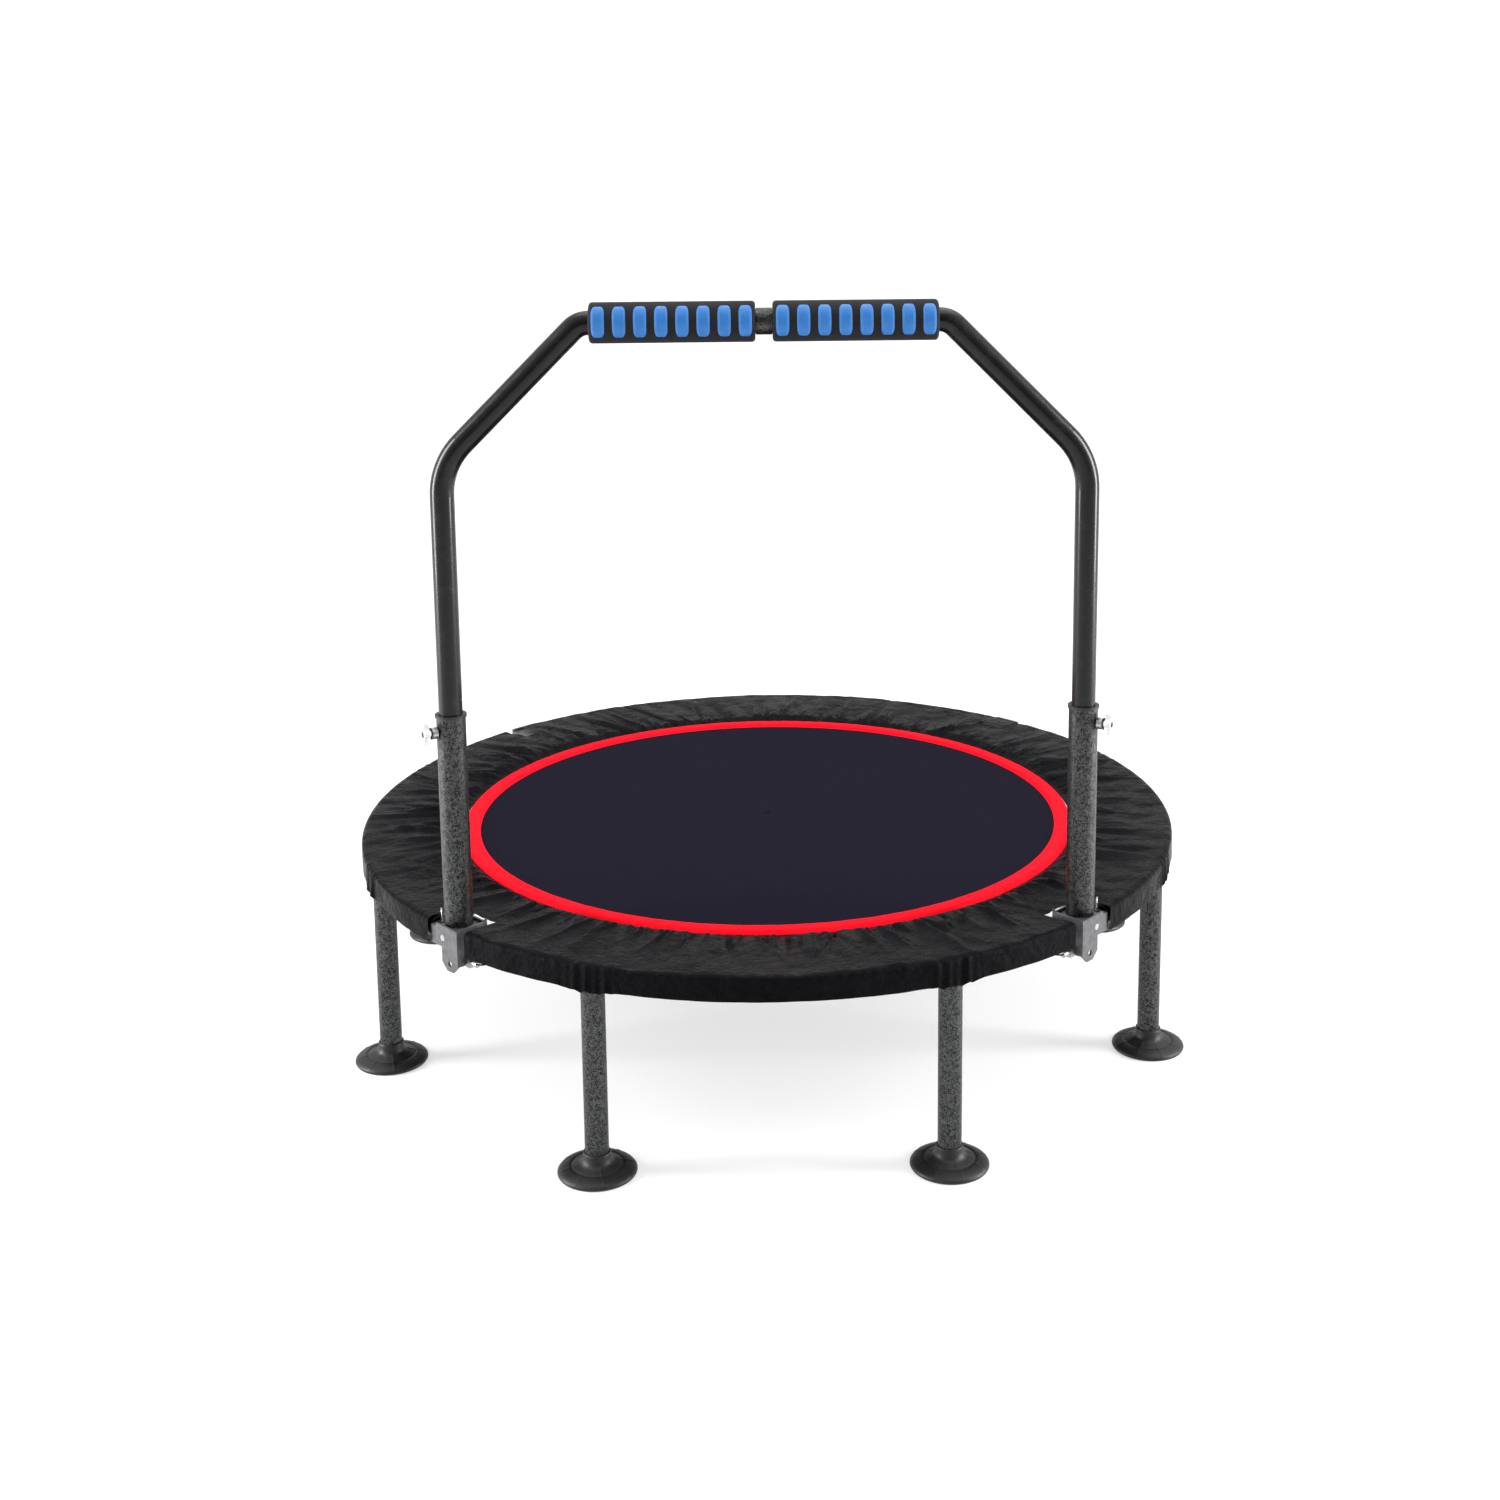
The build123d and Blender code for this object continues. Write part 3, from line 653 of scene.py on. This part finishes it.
# ---------------------------------------------------------------- springs
def spring_piece(half, number, angle):
    """One coil spring with its two hooks, stretched from the rim tube to a mat ring."""
    inner, outer, coil_r, wire = 408.0, 466.0, 5.2, 0.95
    turns = 17
    steps = np.linspace(0, 1, turns * 10 + 1)
    line = []
    for x in np.linspace(393.2, inner - 3, 5):
        line.append((x, 0, 0))
    for s in steps:
        grow = min(1, s * 14, (1 - s) * 14)
        a = 2 * pi * turns * s
        line.append((inner + (outer - inner) * s, coil_r * grow * cos(a), coil_r * grow * sin(a)))
    for x in np.linspace(outer + 3, 481.6, 5):
        line.append((x, 0, 0))
    out = ring_spot(angle, 1)
    side = ring_spot(angle + 90, 1)
    points = [out * x + side * y + np.array([0, 0, RIM_Z + z]) for x, y, z in line]
    verts, faces = tube(points, wire, 6)
    piece = mesh_piece(f"spring_{half}_{number:02d}", verts, faces, MATERIALS["zinc_bolt"])
    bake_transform(piece)
    if number == 0:
        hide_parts(f"springs_{half}")


def make_springs():
    for half, (start, stop) in CREASE.items():
        for number in range(18):
            spring_piece(half, number, start + 5 + 10 * number)


# ---------------------------------------------------------------- feet
def foot_piece(name, angle, body):
    """A moulded rubber foot: low ringed dome with raised seams and a short neck."""
    spot = ring_spot(angle, RIM_R)
    outline = [(0, 0.2), (40.5, 0.2), (42.2, 0.8), (43, 2.2), (42.9, 3.6), (41.6, 5.2), (39, 6.8), (35.5, 8.2)]
    outline += [(31, 9.4), (29.4, 9.5), (28.4, 8.9), (27.2, 9.7), (24, 10.9), (20.5, 12.2), (17.8, 13.6)]
    outline += [(16.2, 15.6), (15.3, 18.5), (14.9, 22), (14.8, 24.6), (14.2, 25.2), (13.1, 25.2)]
    segments = 144
    verts = []
    for r, z in outline:
        for k in range(segments):
            a = 2 * pi * k / segments
            seam = max(0.0, 1 - abs((degrees(a) - 15 + 22.5) % 45 - 22.5) / 2.6)
            raised = 0.55 * seam if 17 < r < 42 and z > 4 else 0
            verts.append((spot[0] + r * cos(a), spot[1] + r * sin(a), z + raised))
    faces = grid_faces(len(outline), segments, wrap=True)
    piece = mesh_piece(f"rubber_foot_{name}", verts, faces, MATERIALS["foot_rubber"])
    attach(piece, body)
    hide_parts(f"foot_{name}")


def make_feet():
    for leg in [n for n in frame["nodes"] if n.startswith("foot_")]:
        low, high = (np.array(corner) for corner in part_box(leg))
        middle = (low + high) / 2
        angle = degrees(np.arctan2(middle[1], middle[0])) % 360
        body = "frame_b" if angle < 135 or angle > 315 else "frame_a"
        foot_piece(leg.removeprefix("foot_"), angle, body)


# ---------------------------------------------------------------- grip pads
def grip_pads(label, side):
    """Two rows of soft rounded pads moulded on the foam grip."""
    parts = []
    across, around = 9, 15
    for row_turn in (-8.0, 172.0):
        for i in range(8):
            first = 9.0 + 3.0 + i * 22.0
            verts = []
            for u in np.linspace(-1, 1, around):
                for v in np.linspace(-1, 1, across):
                    edge = max(0.0, 1 - abs(u) ** 6) ** 0.5 * max(0.0, 1 - abs(v) ** 4) ** 0.5
                    squeeze = (1 - 0.18 * abs(v) ** 6)
                    x = side * (first + 7.5 + 7.3 * v * (1 - 0.22 * abs(u) ** 6))
                    a = radians(row_turn) + u * radians(50) * squeeze
                    radius = GRIP_R - 0.3 + 1.5 * edge
                    verts.append((x, RAIL_Y - radius * cos(a), RAIL_Z - radius * sin(a)))
            faces = grid_faces(around, across)
            if side < 0:
                faces = [tuple(reversed(f)) for f in faces]
            parts.append((verts, faces))
    verts, faces = joined(parts)
    piece = mesh_piece(f"blue_pads_{label}", verts, faces, MATERIALS["pad_blue"])
    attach(piece, "handrail")
    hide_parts(f"grip_pads_{label}")


# ---------------------------------------------------------------- knobs
def knob_pieces(label, side):
    """A small five-lobed star knob: pale star on a dark ribbed hub."""
    way = np.array([side * cos(radians(27)), -sin(radians(27)), 0])
    up = np.array([0, 0, 1.0])
    across = np.cross(up, way)
    origin = np.array([side * POST_X, RAIL_Y, 460.0])

    def turned_shape(outline, radius_at, steps=100):
        verts = []
        for distance, share in outline:
            for k in range(steps):
                a = 2 * pi * k / steps
                radius = share * radius_at(a)
                verts.append(origin + way * distance + radius * (cos(a) * up + sin(a) * across))
        faces = grid_faces(len(outline), steps, wrap=True)
        faces.append(tuple(reversed(range(steps))))
        faces.append(tuple(range(len(verts) - steps, len(verts))))
        return verts, [tuple(reversed(f)) for f in faces]

    star_outline = [(25.6, 0.86), (26.2, 0.97), (27.6, 1.0), (31.2, 1.0), (32.4, 0.96), (32.9, 0.86), (32.2, 0.55), (32.0, 0.2)]
    verts, faces = turned_shape(star_outline, lambda a: 9.6 + 2.2 * cos(5 * a))
    star = mesh_piece(f"star_{label}", verts, faces, MATERIALS["white_plastic"])
    hub_outline = [(23.2, 0.9), (23.6, 1.0), (25.2, 1.0), (25.7, 0.92), (32.0, 0.5), (33.0, 0.42), (33.1, 0.1)]
    verts, faces = turned_shape(hub_outline, lambda a: 6.6 + 0.25 * cos(20 * a))
    hub = mesh_piece(f"knob_hub_{label}", verts, faces, MATERIALS["black_plastic"])
    body = f"knob_{label[0]}"
    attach(star, body)
    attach(hub, body)
    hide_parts(f"knob_{label}")


# ---------------------------------------------------------------- lock rings
def lock_ring(label, side):
    """The wire pull ring beside a handrail post."""
    out = ring_spot(225 if side < 0 else 315, 1)
    along = np.array([-side * sqrt(0.5), -sqrt(0.5), 0])
    middle = out * 492 - along * 27 + np.array([0, 0, 241.5])
    points = []
    for a in np.linspace(0, 2 * pi, 41):
        points.append(middle + 7 * (cos(a) * along * 0.8 + sin(a) * np.array([0, 0, 1.0])) + 3 * cos(a) * out)
    verts, faces = tube(points, 1.0, 8)
    piece = mesh_piece(f"lock_ring_{label}", verts, faces, MATERIALS["zinc_bolt"])
    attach(piece, "frame_a" if side < 0 else "frame_b")


def cover_elastic(label, side):
    """The elastic that pulls the cover's corner down to the bolt under a handrail post."""
    out = ring_spot(225 if side < 0 else 315, 1)
    along = np.array([-side * sqrt(0.5), -sqrt(0.5), 0])
    points = []
    for s in np.linspace(0, 1, 13):
        sag = -1.2 * sin(pi * s)
        points.append(out * (496 + 4 * s) + along * (34 + 30 * s) + np.array([0, 0, 203 + 10 * s + sag]))
    verts, faces = tube(points, 0.9, 8)
    piece = mesh_piece(f"cover_elastic_{label}", verts, faces, MATERIALS["cover_fabric"])
    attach(piece, "frame_a")


make_camera()
make_floor()
make_light()
finish_cad_nodes()
for each_half in ("a", "b"):
    mat_half(each_half)
    edge_webbing(each_half)
    red_band(each_half)
crease_tape()
make_cover()
make_springs()
make_feet()
for each_label, each_side in (("left", -1), ("right", 1)):
    grip_pads(each_label, each_side)
    knob_pieces(each_label, each_side)
    lock_ring(each_label, each_side)
    cover_elastic(each_label, each_side)
